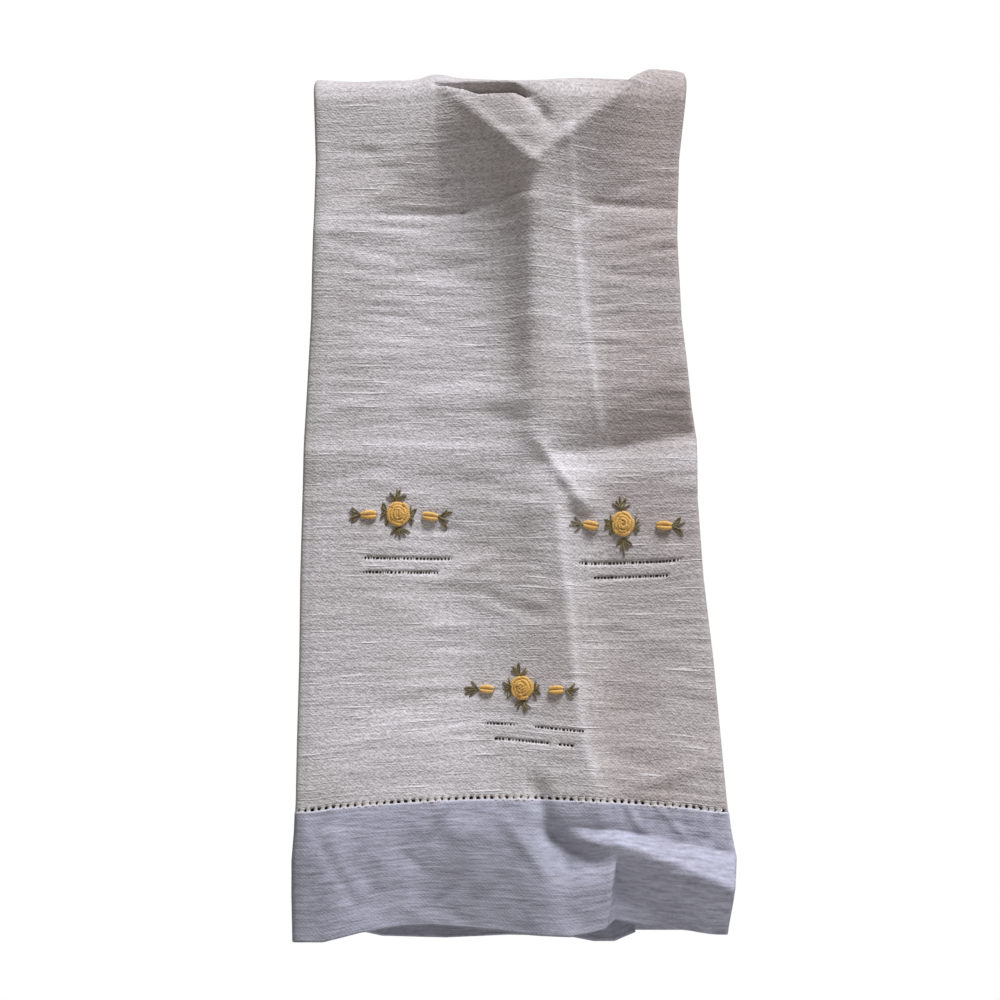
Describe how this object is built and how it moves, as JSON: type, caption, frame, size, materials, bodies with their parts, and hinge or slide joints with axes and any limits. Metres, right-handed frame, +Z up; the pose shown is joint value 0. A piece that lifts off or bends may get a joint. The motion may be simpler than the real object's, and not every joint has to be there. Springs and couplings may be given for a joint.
{
  "type": "embroidered linen towel",
  "caption": "Linen hand towel folded in thirds and hung doubled over a rail, with three bullion-rose sprays, drawn-thread lines and a deep hemstitched hem",
  "frame": {"origin": "on the rail line: the middle of the gap under the top fold, half way along the axis of the rail that the towel hangs over", "axes": "+Z up, +X to the right along the rail as the embroidered face is seen, the embroidered face towards -Y"},
  "size_m": [0.1631, 0.0446, 0.3297],
  "materials": {
    "linen": "slubbed plain-weave linen, pale grey-lavender, matt",
    "yellow_floss": "golden yellow cotton floss wound into bullion stitches, soft sheen",
    "green_floss": "olive green cotton floss in straight leaf stitches, soft sheen"
  },
  "bodies": {
    "root": {"towel": "linen", "rose_left": "yellow_floss", "bud_w_left": "yellow_floss", "bud_e_left": "yellow_floss", "leaf_end_w_left": "green_floss", "leaf_end_e_left": "green_floss", "leaf_top_left": "green_floss", "leaf_low_left": "green_floss", "leaf_in_w_left": "green_floss", "leaf_in_e_left": "green_floss", "rose_right": "yellow_floss", "bud_w_right": "yellow_floss", "bud_e_right": "yellow_floss", "leaf_end_w_right": "green_floss", "leaf_end_e_right": "green_floss", "leaf_top_right": "green_floss", "leaf_low_right": "green_floss", "leaf_in_w_right": "green_floss", "leaf_in_e_right": "green_floss", "rose_lower": "yellow_floss", "bud_w_lower": "yellow_floss", "bud_e_lower": "yellow_floss", "leaf_end_w_lower": "green_floss", "leaf_end_e_lower": "green_floss", "leaf_top_lower": "green_floss", "leaf_low_lower": "green_floss", "leaf_in_w_lower": "green_floss", "leaf_in_e_lower": "green_floss"}
  },
  "joints": []
}
